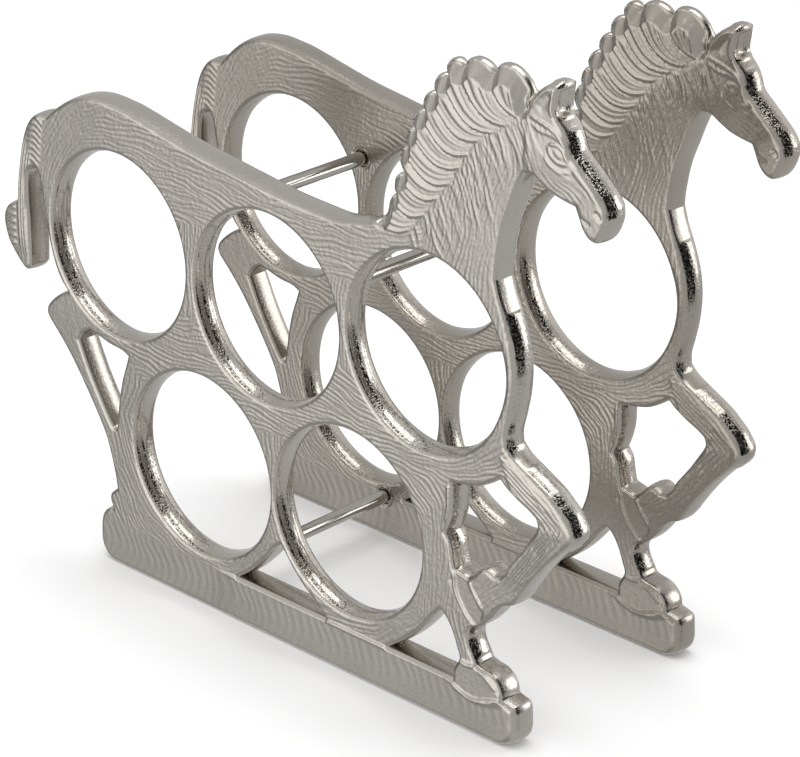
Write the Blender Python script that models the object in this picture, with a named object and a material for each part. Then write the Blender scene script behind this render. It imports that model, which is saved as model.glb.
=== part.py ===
"""Five-bottle wine rack: two identical cast horse panels joined by three tie rods.

Row frame: origin at the centre of the footprint on the floor, +X toward the horse heads,
+Y from the near panel to the far panel, +Z up.  All lengths are metres once in the scene;
the panel drawing below is written in millimetres and converted by MM.
"""
import math

import bmesh
import bpy
from mathutils import Vector
from mathutils.geometry import delaunay_2d_cdt

MM = 0.001

# ---- driving dimensions (millimetres) -------------------------------------------------------
PANEL_THICKNESS = 12.5      # casting depth, front face to back face
PANEL_PITCH = 104.6         # front face of near panel to front face of far panel
EDGE_CHAMFER = 1.1          # broken edge all round the casting
BOTTLE_HOLE_RADIUS = 42.5   # clears a standard 75 cl bottle
HOLE_SEGMENTS = 56
OUTLINE_STEP = 4.5          # longest straight piece on a curved stretch of outline
FIT_GAP = 0.3               # air left between two pieces that touch

ROD_RADIUS = 3.2
ROD_SEGMENTS = 32
STUD_RADIUS = 2.4           # turned-down end that screws into the near panel
STUD_LENGTH = 7.5
SOCKET_RADIUS = STUD_RADIUS + FIT_GAP
SOCKET_DEPTH = STUD_LENGTH + 1.0
SEAT_RADIUS = 4.2           # shallow counterbore round the rod end in the far panel
SEAT_DEPTH = 2.0
BORE_RADIUS = 2.0           # screw bore through far panel and into the rod end
ROD_BORE_DEPTH = 12.0
SCREW_SHANK_RADIUS = BORE_RADIUS - FIT_GAP
SCREW_HEAD_RADIUS = 3.7
SCREW_HEAD_DEPTH = 2.2
SCREW_LENGTH = 17.0
SINK_RADIUS = SCREW_HEAD_RADIUS + FIT_GAP
SINK_LAND = 0.5             # short straight mouth of the countersink
HEX_RADIUS = 1.3
HEX_DEPTH = 1.3

# Bottle-hole centres on the panel drawing (x, z).
BOTTLE_HOLES = {
    "upper_rear": (-171.0, 152.7),
    "upper_middle": (-80.0, 150.2),
    "upper_front": (10.0, 157.6),
    "lower_rear": (-120.8, 64.9),
    "lower_front": (-32.6, 68.1),
}

# Tie-rod centres on the panel drawing (x, z).
TIE_RODS = {
    "upper_rear": (-125.5, 177.5),
    "upper_front": (-37.0, 172.5),
    "lower": (-110.8, 17.0),
}

# Outline of the horse, anticlockwise from the rear end of the base rail.  Each list is one
# smooth stretch; neighbouring stretches share their end point, which stays a sharp corner.
RAIL_UNDERSIDE = [(-178.0, -2.4), (54.0, -2.4)]
RAIL_FRONT_CORNER = [(54.0, -2.4), (58.5, -1.2), (61.8, 2.0), (62.8, 6.0)]
RAIL_FRONT_END = [(62.8, 6.0), (62.3, 14.2)]
RAIL_FRONT_TOP = [(62.3, 14.2), (61.3, 16.4), (58.6, 17.3), (55.2, 18.2)]
FRONT_HOOF = [(55.2, 18.2), (54.6, 21.6), (52.4, 25.0), (48.6, 27.4), (44.0, 28.3), (40.9, 29.0)]
FRONT_PASTERN = [(40.9, 29.0), (38.6, 32.8), (36.6, 36.6), (36.0, 40.6), (37.6, 44.6), (40.8, 46.6)]
RAISED_HOOF_BACK = [(40.8, 46.6), (44.2, 49.2), (48.2, 53.6), (51.8, 58.6), (55.2, 61.4)]
RAISED_SHIN = [(55.2, 61.4), (59.0, 63.0), (62.0, 66.4), (65.0, 71.2), (69.8, 78.2), (75.6, 85.8),
               (80.6, 91.5), (84.4, 95.4), (87.8, 98.8)]
KNEE = [(87.8, 98.8), (89.4, 101.6), (89.0, 105.2), (85.2, 110.4), (81.0, 114.0)]
RAISED_THIGH = [(81.0, 114.0), (76.2, 117.6), (66.2, 122.8), (58.4, 127.0), (54.4, 130.6)]
CHEST = [(54.4, 130.6), (54.2, 135.6), (56.0, 143.0), (57.8, 152.6), (58.2, 163.0), (56.7, 173.0),
         (53.2, 183.0), (49.4, 191.4), (46.9, 199.0)]
THROAT = [(46.9, 199.0), (47.4, 206.2), (49.4, 218.8), (53.0, 229.6), (57.2, 240.6), (60.8, 246.6)]
JAW = [(60.8, 246.6), (64.6, 246.6), (70.2, 243.6), (76.0, 241.2), (85.2, 239.4)]
CHIN = [(85.2, 239.4), (87.2, 235.2), (89.2, 231.4), (92.4, 228.4), (96.2, 227.8), (99.0, 231.2),
        (101.0, 236.8), (100.7, 241.8)]
NOSE = [(100.7, 241.8), (98.0, 245.8), (92.6, 250.8), (87.2, 255.4), (82.8, 259.4), (81.2, 263.6),
        (79.2, 267.4), (76.0, 270.8)]
EAR_FRONT = [(76.0, 270.8), (74.6, 274.0), (75.0, 278.6), (75.6, 284.0)]
EAR_BACK = [(75.6, 284.0), (70.8, 283.4), (66.4, 280.4), (63.0, 276.0), (60.8, 271.4)]

# Locks of the mane from the ear down to the withers: each is one rounded lobe.
MANE_LOCKS = [
    [(60.8, 271.4), (60.2, 275.6), (57.2, 280.6), (52.6, 284.0), (48.0, 284.9), (44.2, 284.2),
     (42.0, 282.0), (41.2, 280.4)],
    [(41.2, 280.4), (37.2, 283.0), (32.2, 283.9), (28.6, 282.8), (26.6, 281.0), (26.0, 279.4)],
    [(26.0, 279.4), (22.6, 281.2), (19.2, 280.5), (17.2, 278.2), (16.8, 276.0), (17.0, 273.6)],
    [(17.0, 273.6), (14.4, 273.6), (12.0, 272.0), (10.6, 269.2), (10.5, 266.8), (11.0, 264.8)],
    [(11.0, 264.8), (8.4, 264.8), (6.0, 263.0), (4.8, 260.4), (4.8, 258.4), (5.4, 256.2)],
    [(5.4, 256.2), (3.0, 256.2), (0.8, 254.4), (-0.4, 252.0), (-0.4, 250.0), (0.2, 247.8)],
    [(0.2, 247.8), (-1.8, 247.6), (-3.4, 245.6), (-4.0, 243.4), (-4.0, 241.6), (-3.5, 239.6)],
    [(-3.5, 239.6), (-5.3, 239.0), (-6.8, 236.6), (-7.3, 234.0), (-6.7, 231.4), (-5.0, 228.2)],
    [(-5.0, 228.2), (-7.2, 227.6), (-9.4, 225.6), (-10.2, 222.8), (-10.0, 220.6), (-9.4, 218.4)],
    [(-9.4, 218.4), (-11.3, 217.2), (-12.7, 214.6), (-13.2, 212.0), (-14.2, 209.4), (-16.4, 206.6)],
]
BACK = [(40.8, 46.6), (44.2, 49.2), (48.2, 53.6), (51.8, 58.6), (55.2, 61.4)]
RAISED_SHIN = [(55.2, 61.4), (59.0, 63.0), (62.0, 66.4), (65.0, 71.2), (69.8, 78.2), (75.6, 85.8),
               (80.6, 91.5), (84.4, 95.4), (87.8, 98.8)]
KNEE = [(87.8, 98.8), (89.4, 101.6), (89.0, 105.2), (85.2, 110.4), (81.0, 114.0)]
RAISED_THIGH = [(81.0, 114.0), (76.2, 117.6), (66.2, 122.8), (58.4, 127.0), (54.4, 130.6)]
CHEST = [(54.4, 130.6), (54.2, 135.6), (56.0, 143.0), (57.8, 152.6), (58.2, 163.0), (56.7, 173.0),
         (53.2, 183.0), (49.4, 191.4), (46.9, 199.0)]
THROAT = [(46.9, 199.0), (47.4, 206.2), (49.4, 218.8), (53.0, 229.6), (57.2, 240.6), (60.8, 246.6)]
JAW = [(60.8, 246.6), (64.6, 246.6), (70.2, 243.6), (76.0, 241.2), (85.2, 239.4)]
CHIN = [(85.2, 239.4), (87.2, 235.2), (89.2, 231.4), (92.4, 228.4), (96.2, 227.8), (99.0, 231.2),
        (101.0, 236.8), (100.7, 241.8)]
NOSE = [(100.7, 241.8), (98.0, 245.8), (92.6, 250.8), (87.2, 255.4), (82.8, 259.4), (81.2, 263.6),
        (79.2, 267.4), (76.0, 270.8)]
EAR_FRONT = [(76.0, 270.8), (74.6, 274.0), (75.0, 278.6), (75.6, 284.0)]
EAR_BACK = [(75.6, 284.0), (70.8, 283.4), (66.4, 280.4), (63.0, 276.0), (60.8, 271.4)]

# Locks of the mane from the ear down to the withers: each is one rounded lobe.
MANE_LOCKS = [
    [(60.8, 271.4), (57.4, 276.4), (52.8, 282.0), (49.6, 284.6), (47.2, 283.4), (45.9, 279.2)],
    [(45.9, 279.2), (41.6, 282.8), (37.0, 284.0), (33.4, 282.8), (31.8, 277.6)],
    [(31.8, 277.6), (29.0, 280.8), (25.8, 281.6), (23.2, 279.8), (22.3, 276.0), (22.6, 272.8)],
    [(22.6, 272.8), (20.0, 275.0), (17.3, 274.4), (15.8, 271.2), (15.9, 267.4), (16.6, 264.4)],
    [(16.6, 264.4), (14.2, 266.6), (11.8, 265.4), (10.6, 262.2), (10.3, 259.0), (10.7, 255.6)],
    [(10.7, 255.6), (8.4, 257.8), (6.2, 256.6), (5.2, 253.4), (5.1, 250.2), (5.4, 246.9)],
    [(5.4, 246.9), (3.4, 249.0), (1.5, 247.8), (0.8, 244.8), (0.8, 241.6), (1.2, 238.9)],
    [(1.2, 238.9), (0.2, 240.6), (-1.3, 239.0), (-1.7, 235.8), (-1.2, 232.2), (-0.4, 228.6)],
    [(-0.4, 228.6), (-2.2, 229.6), (-4.0, 228.2), (-4.5, 225.6), (-4.2, 222.4), (-3.6, 219.8)],
    [(-3.6, 219.8), (-5.2, 220.6), (-6.8, 218.0), (-7.4, 214.6), (-8.6, 211.4), (-10.8, 208.2)],
]
BACK = [(-16.4, 206.6), (-22.6, 204.2), (-28.7, 202.8), (-38.8, 201.0), (-48.9, 201.2), (-69.1, 202.3),
        (-89.3, 204.7), (-109.5, 207.3), (-129.8, 210.0), (-160.1, 215.8), (-170.2, 217.0),
        (-180.3, 217.4), (-190.4, 215.8), (-200.5, 211.6), (-209.6, 205.4), (-215.0, 200.6)]
TAIL_OUTER = [(-215.0, 200.6), (-219.4, 200.9), (-223.4, 199.4), (-227.2, 195.8), (-230.4, 190.4),
              (-232.8, 184.4), (-234.8, 176.8), (-236.4, 168.6), (-237.4, 161.4), (-238.2, 155.4)]
TAIL_LOBE = [(-238.2, 155.4), (-241.4, 154.2), (-244.6, 151.6), (-246.6, 147.6), (-246.6, 142.6),
             (-244.6, 136.4), (-241.2, 131.4), (-237.6, 127.4), (-234.0, 124.8), (-231.6, 124.8),
             (-229.6, 127.0)]
TAIL_SLOT = [(-229.6, 127.0), (-229.2, 136.0), (-229.6, 150.0), (-230.2, 163.0), (-228.8, 171.2),
             (-225.2, 174.8), (-221.8, 172.6), (-220.6, 166.0)]
RUMP = [(-220.6, 166.0), (-219.0, 158.0), (-217.4, 149.0), (-215.4, 139.4), (-212.2, 130.8),
        (-208.8, 125.4), (-205.0, 121.8)]
HOCK = [(-205.0, 121.8), (-210.5, 119.0), (-215.2, 115.4), (-218.8, 111.6), (-219.8, 108.4),
        (-218.6, 105.4)]
HIND_SHIN = [(-218.6, 105.4), (-210.0, 97.0), (-203.6, 89.8), (-197.0, 81.0), (-189.8, 70.6),
             (-183.4, 60.0), (-180.0, 51.0), (-177.4, 41.0), (-176.4, 34.8)]
HEEL = [(-176.4, 34.8), (-178.8, 32.8), (-180.9, 30.6), (-181.1, 28.0), (-180.2, 25.6), (-179.3, 23.9)]
RAIL_REAR_END = [(-179.3, 23.9), (-182.6, 22.8), (-185.6, 20.2), (-187.3, 16.4), (-187.9, 11.0),
                 (-187.7, 5.4), (-185.8, 1.2), (-182.4, -1.6), (-178.0, -2.4)]

OUTLINE = [RAIL_UNDERSIDE, RAIL_FRONT_CORNER, RAIL_FRONT_END, RAIL_FRONT_TOP, FRONT_HOOF,
           FRONT_PASTERN, RAISED_HOOF_BACK, RAISED_SHIN, KNEE, RAISED_THIGH, CHEST, THROAT, JAW,
           CHIN, NOSE, EAR_FRONT, EAR_BACK, *MANE_LOCKS, BACK, TAIL_OUTER, TAIL_LOBE, TAIL_SLOT,
           RUMP, HOCK, HIND_SHIN, HEEL, RAIL_REAR_END]

# Openings that are not bottle holes, again as smooth stretches meeting at corners.
HIND_LEG_GAP = [
    [(-198.4, 100.6), (-191.8, 87.2), (-184.2, 74.6), (-178.2, 65.6), (-176.0, 64.4)],
    [(-176.0, 64.4), (-175.0, 67.0), (-173.4, 78.0), (-171.0, 89.0), (-168.2, 97.0), (-166.4, 102.2)],
    [(-166.4, 102.2), (-170.6, 103.8), (-178.6, 104.6), (-186.0, 106.4), (-191.2, 107.4)],
    [(-191.2, 107.4), (-195.6, 104.6), (-198.4, 100.6)],
]
REAR_RAIL_GAP = [
    [(-98.6, 18.6), (-45.0, 18.6)],
    [(-45.0, 18.6), (-49.8, 22.8), (-54.4, 26.0), (-59.8, 30.0), (-65.2, 35.4), (-69.4, 40.4),
     (-72.2, 43.8)],
    [(-72.2, 43.8), (-75.6, 41.0), (-80.6, 34.6), (-86.6, 28.2), (-92.6, 22.8), (-98.6, 18.6)],
]
FRONT_RAIL_GAP = [
    [(-8.8, 18.6), (28.4, 18.6)],
    [(28.4, 18.6), (28.4, 22.8), (31.2, 28.6), (29.8, 33.2), (27.4, 39.0), (24.4, 43.8), (20.9, 47.2)],
    [(20.9, 47.2), (16.8, 43.0), (12.0, 36.8), (6.4, 30.6), (0.2, 25.0), (-8.8, 18.6)],
]
FORELEG_GAP = [
    [(26.2, 106.2), (26.4, 100.2), (26.2, 94.0), (24.8, 87.8), (22.8, 82.8)],
    [(22.8, 82.8), (25.6, 78.6), (26.9, 72.4), (28.0, 68.2)],
    [(28.0, 68.2), (32.4, 67.2), (35.8, 66.6), (38.8, 69.6), (42.0, 73.0), (45.5, 74.2),
     (49.2, 72.8), (52.4, 73.2)],
    [(52.4, 73.2), (55.2, 76.6), (56.8, 80.0), (60.0, 84.4), (63.4, 89.0), (67.0, 94.6),
     (70.2, 99.8), (71.2, 102.6), (70.2, 105.4)],
    [(70.2, 105.4), (66.0, 107.6), (60.4, 110.0), (54.8, 113.2), (51.0, 116.4)],
    [(51.0, 116.4), (47.2, 113.6), (41.6, 110.0), (35.2, 108.0), (26.2, 106.2)],
]
GAPS = [HIND_LEG_GAP, REAR_RAIL_GAP, FRONT_RAIL_GAP, FORELEG_GAP]


# ---- drawing helpers -------------------------------------------------------------------------
def spline_span(p0, p1, p2, p3, count):
    """Points of one Catmull-Rom span from p1 up to, not including, p2."""
    out = []
    for k in range(count):
        t = k / count
        weights = (
            -0.5 * t + t * t - 0.5 * t ** 3,
            1.0 - 2.5 * t * t + 1.5 * t ** 3,
            0.5 * t + 2.0 * t * t - 1.5 * t ** 3,
            -0.5 * t * t + 0.5 * t ** 3,
        )
        x = sum(w * p[0] for w, p in zip(weights, (p0, p1, p2, p3)))
        z = sum(w * p[1] for w, p in zip(weights, (p0, p1, p2, p3)))
        out.append((x, z))
    return out


def stretch_points(points):
    """One smooth stretch through its points, without the last point."""
    if len(points) == 2:
        return [points[0]]
    first, second = points[0], points[1]
    last, before = points[-1], points[-2]
    padded = [(2 * first[0] - second[0], 2 * first[1] - second[1])]
    padded += points
    padded += [(2 * last[0] - before[0], 2 * last[1] - before[1])]
    out = []
    for i in range(1, len(padded) - 2):
        span = math.dist(padded[i], padded[i + 1])
        count = max(1, math.ceil(span / OUTLINE_STEP))
        out += spline_span(*padded[i - 1:i + 3], count)
    return out


def closed_loop(stretches):
    loop = []
    for stretch in stretches:
        loop += stretch_points(stretch)
    return loop


def circle(centre, radius, segments):
    step = 2 * math.pi / segments
    return [(centre[0] + radius * math.cos(k * step), centre[1] + radius * math.sin(k * step))
            for k in range(segments)]


def signed_area(loop):
    return 0.5 * sum(a[0] * b[1] - b[0] * a[1] for a, b in zip(loop, loop[1:] + loop[:1]))


def oriented(loop, anticlockwise):
    if (signed_area(loop) > 0) != anticlockwise:
        return loop[::-1]
    return loop


def inset(loop, distance):
    """Move every corner of a loop to its left by a distance, with mitred corners."""
    out = []
    count = len(loop)
    for i, here in enumerate(loop):
        before = Vector(loop[i - 1])
        after = Vector(loop[(i + 1) % count])
        here = Vector(here)
        d0 = (here - before).normalized()
        d1 = (after - here).normalized()
        n0 = Vector((-d0.y, d0.x))
        n1 = Vector((-d1.y, d1.x))
        middle = (n0 + n1).normalized()
        reach = distance / max(0.6, middle.dot(n0))
        out.append(tuple(here + middle * reach))
    return out


def inside(point, loops):
    """Even-odd test of a point against several loops at once."""
    x, z = point
    hit = False
    for loop in loops:
        for (x0, z0), (x1, z1) in zip(loop, loop[1:] + loop[:1]):
            if (z0 > z) != (z1 > z) and x < x0 + (z - z0) * (x1 - x0) / (z1 - z0):
                hit = not hit
    return hit


def cap_triangles(loops):
    """Triangles filling the material between an outer loop and its holes."""
    flat = [p for loop in loops for p in loop]
    edges = []
    start = 0
    for loop in loops:
        count = len(loop)
        edges += [(start + k, start + (k + 1) % count) for k in range(count)]
        start += count
    _, _, faces, _, _, _ = delaunay_2d_cdt([Vector(p) for p in flat], edges, [], 0, 1e-7)
    kept = []
    for a, b, c in faces:
        middle = ((flat[a][0] + flat[b][0] + flat[c][0]) / 3, (flat[a][1] + flat[b][1] + flat[c][1]) / 3)
        if inside(middle, loops):
            kept.append((a, b, c))
    return kept


# ---- mesh helpers ----------------------------------------------------------------------------
def make_material(name, colour, metallic, roughness):
    material = bpy.data.materials.new(name)
    material.use_nodes = True
    shader = material.node_tree.nodes["Principled BSDF"]
    shader.inputs["Base Color"].default_value = (*colour, 1.0)
    shader.inputs["Metallic"].default_value = metallic
    shader.inputs["Roughness"].default_value = roughness
    return material


def make_object(name, vertices, faces, material, smooth_angle=35.0):
    mesh = bpy.data.meshes.new(name)
    mesh.from_pydata([tuple(c * MM for c in v) for v in vertices], [], faces)
    mesh.validate()
    shell = bmesh.new()
    shell.from_mesh(mesh)
    bmesh.ops.recalc_face_normals(shell, faces=shell.faces)
    shell.to_mesh(mesh)
    shell.free()
    mesh.materials.append(material)
    mesh.shade_smooth()
    mesh.set_sharp_from_angle(angle=math.radians(smooth_angle))
    obj = bpy.data.objects.new(name, mesh)
    bpy.context.scene.collection.objects.link(obj)
    return obj


def strip(faces, row_a, row_b):
    """Quads between two rings of vertex indices of equal length."""
    count = len(row_a)
    for k in range(count):
        n = (k + 1) % count
        faces.append((row_a[k], row_a[n], row_b[n], row_b[k]))


def build_panel(name, y_front, rod_holes, material):
    """Cast panel with chamfered edges; rod_holes maps a centre to rings of (radius, depth)."""
    vertices = []
    faces = []
    y_back = y_front + PANEL_THICKNESS
    front_caps = []
    back_caps = []

    def add_ring(loop, y):
        start = len(vertices)
        vertices.extend((x + OFFSET_X, y, z + OFFSET_Z) for x, z in loop)
        return list(range(start, start + len(loop)))

    loops = [oriented(closed_loop(OUTLINE), True)]
    loops += [oriented(closed_loop(gap), False) for gap in GAPS]
    loops += [oriented(circle(c, BOTTLE_HOLE_RADIUS, HOLE_SEGMENTS), False)
              for c in BOTTLE_HOLES.values()]
    for loop in loops:
        rim = inset(loop, EDGE_CHAMFER)
        rings = [add_ring(rim, y_front), add_ring(loop, y_front + EDGE_CHAMFER),
                 add_ring(loop, y_back - EDGE_CHAMFER), add_ring(rim, y_back)]
        for row_a, row_b in zip(rings, rings[1:]):
            strip(faces, row_a, row_b)
        front_caps.append((rim, rings[0]))
        back_caps.append((rim, rings[-1]))

    for centre, profile, opens_front, opens_back in rod_holes:
        rings = []
        for radius, depth in profile:
            rings.append(add_ring(oriented(circle(centre, radius, ROD_SEGMENTS), False),
                                  y_front + depth))
        for row_a, row_b in zip(rings, rings[1:]):
            strip(faces, row_a, row_b)
        if opens_front:
            front_caps.append((oriented(circle(centre, profile[0][0], ROD_SEGMENTS), False), rings[0]))
        else:
            faces.append(rings[0])
        if opens_back:
            back_caps.append((oriented(circle(centre, profile[-1][0], ROD_SEGMENTS), False), rings[-1]))

    for caps, facing_front in ((front_caps, True), (back_caps, False)):
        index = [i for _, ring in caps for i in ring]
        for a, b, c in cap_triangles([loop for loop, _ in caps]):
            face = (index[a], index[b], index[c])
            faces.append(face if facing_front else face[::-1])
    return make_object(name, vertices, faces, material)


def build_turned(name, centre, profile, material, hex_socket=None):
    """Solid of revolution along +Y; profile is (radius, y) from front pole to back pole."""
    vertices = []
    faces = []
    rows = []
    for radius, y in profile:
        start = len(vertices)
        for x, z in oriented(circle(centre, radius, ROD_SEGMENTS), False):
            vertices.append((x + OFFSET_X, y, z + OFFSET_Z))
        rows.append(list(range(start, start + ROD_SEGMENTS)))
    faces.append(rows[0])
    for row_a, row_b in zip(rows, rows[1:]):
        strip(faces, row_b, row_a)
    if hex_socket is None:
        faces.append(rows[-1][::-1])
    else:
        radius, depth = hex_socket
        y_mouth = profile[-1][1]
        mouth = oriented(circle(centre, radius, 6), False)
        start = len(vertices)
        for y in (y_mouth, y_mouth - depth):
            vertices.extend((x + OFFSET_X, y, z + OFFSET_Z) for x, z in mouth)
        upper = list(range(start, start + 6))
        lower = list(range(start + 6, start + 12))
        outer = oriented(circle(centre, profile[-1][0], ROD_SEGMENTS), False)
        index = rows[-1] + upper
        for a, b, c in cap_triangles([outer, mouth]):
            faces.append((index[c], index[b], index[a]))
        strip(faces, lower, upper)
        faces.append(lower[::-1])
    return make_object(name, vertices, faces, material)


# ---- assembly --------------------------------------------------------------------------------
for old in list(bpy.data.objects):
    bpy.data.objects.remove(old, do_unlink=True)

outline_loop = closed_loop(OUTLINE)
low_x = min(p[0] for p in outline_loop)
high_x = max(p[0] for p in outline_loop)
OFFSET_X = -0.5 * (low_x + high_x)
OFFSET_Z = -min(p[1] for p in outline_loop)

DEPTH = PANEL_PITCH + PANEL_THICKNESS
NEAR_FRONT = -0.5 * DEPTH
NEAR_BACK = NEAR_FRONT + PANEL_THICKNESS
FAR_FRONT = NEAR_FRONT + PANEL_PITCH
FAR_BACK = FAR_FRONT + PANEL_THICKNESS

near_metal = make_material("near_cast_nickel", (0.56, 0.54, 0.51), 1.0, 0.36)
far_metal = make_material("far_cast_nickel", (0.56, 0.54, 0.51), 1.0, 0.36)
rod_metal = make_material("rod_nickel", (0.60, 0.57, 0.53), 1.0, 0.18)
screw_metal = make_material("screw_nickel", (0.58, 0.57, 0.55), 1.0, 0.25)

near_holes = []
far_holes = []
for centre in TIE_RODS.values():
    socket = [(SOCKET_RADIUS, PANEL_THICKNESS - SOCKET_DEPTH), (SOCKET_RADIUS, PANEL_THICKNESS)]
    near_holes.append((centre, socket, False, True))
    passage = [
        (SEAT_RADIUS, 0.0),
        (SEAT_RADIUS, SEAT_DEPTH),
        (BORE_RADIUS, SEAT_DEPTH),
        (BORE_RADIUS, PANEL_THICKNESS - SCREW_HEAD_DEPTH),
        (SINK_RADIUS, PANEL_THICKNESS - SINK_LAND),
        (SINK_RADIUS, PANEL_THICKNESS),
    ]
    far_holes.append((centre, passage, True, True))

build_panel("near_horse_panel", NEAR_FRONT, near_holes, near_metal)
build_panel("far_horse_panel", FAR_FRONT, far_holes, far_metal)

ROD_START = NEAR_BACK + FIT_GAP
ROD_END = FAR_FRONT + SEAT_DEPTH - FIT_GAP
HEAD_TOP = FAR_BACK - 0.2
for label, centre in TIE_RODS.items():
    rod_profile = [
        (STUD_RADIUS - 0.4, ROD_START - STUD_LENGTH),
        (STUD_RADIUS, ROD_START - STUD_LENGTH + 0.4),
        (STUD_RADIUS, ROD_START),
        (ROD_RADIUS, ROD_START),
        (ROD_RADIUS, ROD_END - 0.4),
        (ROD_RADIUS - 0.4, ROD_END),
        (BORE_RADIUS, ROD_END),
        (BORE_RADIUS, ROD_END - ROD_BORE_DEPTH),
    ]
    build_turned(label + "_tie_rod", centre, rod_profile, rod_metal)
    screw_profile = [
        (SCREW_SHANK_RADIUS - 0.3, HEAD_TOP - SCREW_LENGTH),
        (SCREW_SHANK_RADIUS, HEAD_TOP - SCREW_LENGTH + 0.3),
        (SCREW_SHANK_RADIUS, HEAD_TOP - SCREW_HEAD_DEPTH),
        (SCREW_HEAD_RADIUS, HEAD_TOP - 0.4),
        (SCREW_HEAD_RADIUS, HEAD_TOP),
    ]
    build_turned(label + "_screw", centre, screw_profile, screw_metal, (HEX_RADIUS, HEX_DEPTH))
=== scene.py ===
"""Visual model of the five-bottle horse wine rack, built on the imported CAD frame.

The drawing of one cast panel is in millimetres (x along the horse, z up).  Its outline is turned
into a distance field; the carved relief, hair and ripples are height maps over that drawing.
"""
import math

import bmesh
import bpy
import numpy as np
from mathutils import Matrix, Vector
from mathutils.geometry import delaunay_2d_cdt
from mathutils.kdtree import KDTree


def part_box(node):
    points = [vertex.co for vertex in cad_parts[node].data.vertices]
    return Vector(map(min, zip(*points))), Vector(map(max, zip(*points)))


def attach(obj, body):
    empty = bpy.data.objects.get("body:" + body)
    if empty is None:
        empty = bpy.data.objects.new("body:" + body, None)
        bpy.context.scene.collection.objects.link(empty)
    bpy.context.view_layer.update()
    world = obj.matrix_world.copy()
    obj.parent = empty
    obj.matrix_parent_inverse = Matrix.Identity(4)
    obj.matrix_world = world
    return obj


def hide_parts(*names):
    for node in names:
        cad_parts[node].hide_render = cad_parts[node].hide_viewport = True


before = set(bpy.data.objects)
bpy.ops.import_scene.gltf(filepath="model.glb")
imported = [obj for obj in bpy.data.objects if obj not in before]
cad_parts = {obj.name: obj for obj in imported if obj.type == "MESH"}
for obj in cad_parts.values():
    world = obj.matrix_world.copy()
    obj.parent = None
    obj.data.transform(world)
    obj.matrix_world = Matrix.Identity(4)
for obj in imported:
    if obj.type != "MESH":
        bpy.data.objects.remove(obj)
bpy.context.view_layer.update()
MM = 0.001

# ---- sizes shared with the CAD panel -------------------
near_low, near_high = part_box("near_horse_panel")
far_low, far_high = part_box("far_horse_panel")
THICK = (near_high[1] - near_low[1]) / MM
BOTTLE_R = 42.5
SEAT_R = 4.2
BOTTLE_HOLES = [(-171.0, 152.7), (-80.0, 150.2), (10.0, 157.6), (-120.8, 64.9), (-32.6, 68.1)]
RODS = {"upper_rear": (-125.5, 177.5), "upper_front": (-37.0, 172.5), "lower": (-110.8, 17.0)}

# ---- panel drawing: smooth stretches that meet at corners, anticlockwise ----
OUTLINE = [
    [(-178.0, -2.4), (54.0, -2.4)],
    [(54.0, -2.4), (58.5, -1.2), (61.8, 2.0), (62.8, 6.0)],
    [(62.8, 6.0), (62.3, 14.2)],
    [(62.3, 14.2), (61.3, 16.4), (58.6, 17.3), (55.2, 18.2)],
    [(55.2, 18.2), (54.6, 21.6), (52.4, 25.0), (48.6, 27.4), (44.0, 28.3), (40.9, 29.0)],
    [(40.9, 29.0), (38.6, 32.8), (36.6, 36.6), (36.0, 40.6), (37.6, 44.6), (40.8, 46.6)],
    [(40.8, 46.6), (44.2, 49.2), (48.2, 53.6), (51.8, 58.6), (55.2, 61.4)],
    [(55.2, 61.4), (59.0, 63.0), (62.0, 66.4), (65.0, 71.2), (69.8, 78.2), (75.6, 85.8),
     (80.6, 91.5), (84.4, 95.4), (87.8, 98.8)],
    [(87.8, 98.8), (89.4, 101.6), (89.0, 105.2), (85.2, 110.4), (81.0, 114.0)],
    [(81.0, 114.0), (76.2, 117.6), (66.2, 122.8), (58.4, 127.0), (54.4, 130.6)],
    [(54.4, 130.6), (54.2, 135.6), (56.0, 143.0), (57.8, 152.6), (58.2, 163.0), (56.7, 173.0),
     (53.2, 183.0), (49.4, 191.4), (46.9, 199.0)],
    [(46.9, 199.0), (47.4, 206.2), (49.4, 218.8), (53.0, 229.6), (57.2, 240.6), (60.8, 246.6)],
    [(60.8, 246.6), (64.6, 246.6), (70.2, 243.6), (76.0, 241.2), (85.2, 239.4)],
    [(85.2, 239.4), (87.2, 235.2), (89.2, 231.4), (92.4, 228.4), (96.2, 227.8), (99.0, 231.2),
     (101.0, 236.8), (100.7, 241.8)],
    [(100.7, 241.8), (98.0, 245.8), (92.6, 250.8), (87.2, 255.4), (82.8, 259.4), (81.2, 263.6),
     (79.2, 267.4), (76.0, 270.8)],
    [(76.0, 270.8), (74.6, 274.0), (75.0, 278.6), (75.6, 284.0)],
    [(75.6, 284.0), (70.8, 283.4), (66.4, 280.4), (63.0, 276.0), (60.8, 271.4)],
]
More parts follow.
